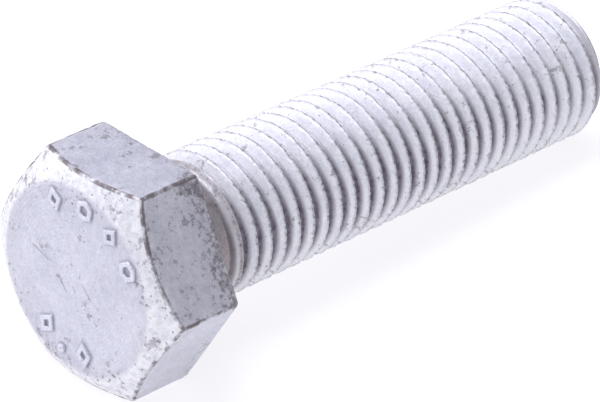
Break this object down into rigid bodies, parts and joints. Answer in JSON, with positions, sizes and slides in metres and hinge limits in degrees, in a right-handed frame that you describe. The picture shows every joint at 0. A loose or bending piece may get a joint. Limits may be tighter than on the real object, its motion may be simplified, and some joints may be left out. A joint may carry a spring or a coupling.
{
  "type": "hex bolt",
  "caption": "Zinc-coated hexagon-head bolt with a plain neck, a coarse right-hand thread to the point and raised marks on the head.",
  "frame": {"origin": "centre of the head's bearing face, on the shank's axis", "axes": "+X along the shank from the head to the point; +Z out through a hexagon flat; +Y out through a hexagon corner"},
  "size_m": [0.0879, 0.0344, 0.03],
  "materials": {
    "head": "zinc coated, dull",
    "shank": "zinc coated, dull",
    "thread": "zinc coated over a rolled thread",
    "marks": "zinc coated, worn bright on top"
  },
  "bodies": {
    "root": {"hex_head": "head", "under_head_neck": "shank", "thread_run_out": "thread", "threaded_shank": "thread", "chamfered_point": "thread", "maker_pads": "marks", "class_pads": "marks"}
  },
  "joints": []
}
